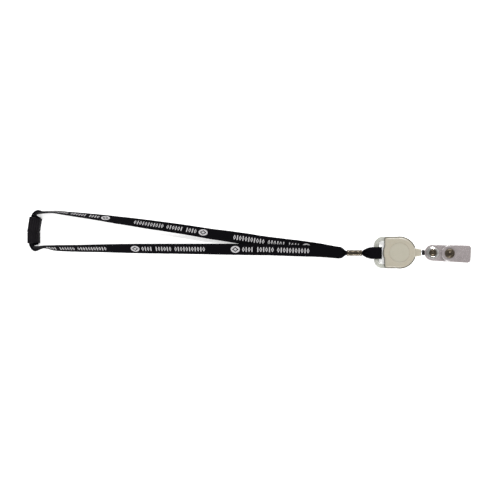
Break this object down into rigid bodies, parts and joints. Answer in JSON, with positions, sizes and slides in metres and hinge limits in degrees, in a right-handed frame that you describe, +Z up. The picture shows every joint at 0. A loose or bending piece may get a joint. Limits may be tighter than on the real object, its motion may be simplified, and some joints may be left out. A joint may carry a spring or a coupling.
{
  "type": "lanyard badge holder",
  "caption": "Flat webbing neck lanyard with a breakaway clasp, metal crimp, retractable cord reel and a clear vinyl snap strap for a badge.",
  "frame": {"origin": "centre of the reel's flat back face, on the table it lies on", "axes": "+X runs from the breakaway clasp to the badge strap, +Y across the object, +Z up out of the reel's labelled face"},
  "size_m": [0.4944, 0.0667, 0.0128],
  "materials": {
    "webbing": "woven black polyester with a white printed pattern",
    "nickel": "polished nickel plate",
    "black_plastic": "moulded satin",
    "clear_plastic": "translucent moulded plastic",
    "ivory_plastic": "satin ivory",
    "label": "matt blank label",
    "steel": "bright",
    "white_plastic": "moulded",
    "cord": "braided nylon",
    "vinyl": "clear smoky vinyl",
    "aged_metal": "antique dark metal"
  },
  "bodies": {
    "lanyard": {"near_leg": "webbing", "far_leg": "webbing", "reel_loop": "webbing", "crimp_barrel": "nickel", "clasp_socket_shell": "black_plastic", "clasp_socket_wedge": "black_plastic"},
    "clasp_plug": {"clasp_plug_shell": "black_plastic", "clasp_plug_wedge": "black_plastic", "far_leg_end": "webbing"},
    "reel": {"reel_back_shell": "clear_plastic", "reel_front_shell": "ivory_plastic", "reel_label": "label", "cord_bushing": "steel", "spool_post": "white_plastic", "cord_lead": "cord"},
    "spool": {"spool": "white_plastic", "spiral_spring": "steel", "cord_winding": "cord"},
    "cord_end": {"pull_cord": "cord", "cord_knot": "cord", "cord_stop": "black_plastic", "link_tab": "nickel"},
    "badge_strap": {"strap_lower_layer": "vinyl", "strap_bend": "vinyl", "rivet_post": "nickel", "rivet_cap": "nickel", "snap_post": "nickel", "snap_stud": "nickel"},
    "strap_flap": {"strap_flap": "vinyl", "snap_socket": "nickel", "snap_cap": "aged_metal"}
  },
  "joints": [
    {"name": "breakaway_release", "type": "slide", "parent": "lanyard", "child": "clasp_plug", "axis": [0.1736, 0.9848, 0], "range_m": [0, 0.012]},
    {"name": "reel_swing", "type": "hinge", "parent": "lanyard", "child": "reel", "pos_m": [-0.02285, 0, 0.0043], "axis": [0, 1, 0], "range_deg": [-75, 75]},
    {"name": "cord_pull", "type": "slide", "parent": "reel", "child": "cord_end", "axis": [1, 0, 0], "range_m": [0, 0.75], "stiffness_N_per_m": 0.6, "springref_m": -0.8},
    {"name": "spool_spin", "type": "hinge", "parent": "reel", "child": "spool", "pos_m": [0, 0, 0.0043], "axis": [0, 0, 1], "range_deg": [0, 3270]},
    {"name": "strap_swivel", "type": "hinge", "parent": "cord_end", "child": "badge_strap", "pos_m": [0.0336, -0.0002, 0.0038], "axis": [0, 0, 1], "range_deg": [-85, 85]},
    {"name": "flap_open", "type": "hinge", "parent": "badge_strap", "child": "strap_flap", "pos_m": [0.06897, -0.00162, 0.00525], "axis": [0.0401, 0.9992, 0], "range_deg": [0, 170], "deforming": ["strap_bend"]}
  ],
  "couplings": [
    {"joint": "spool_spin", "follows": "cord_pull", "rad_per_m": 75.76}
  ]
}
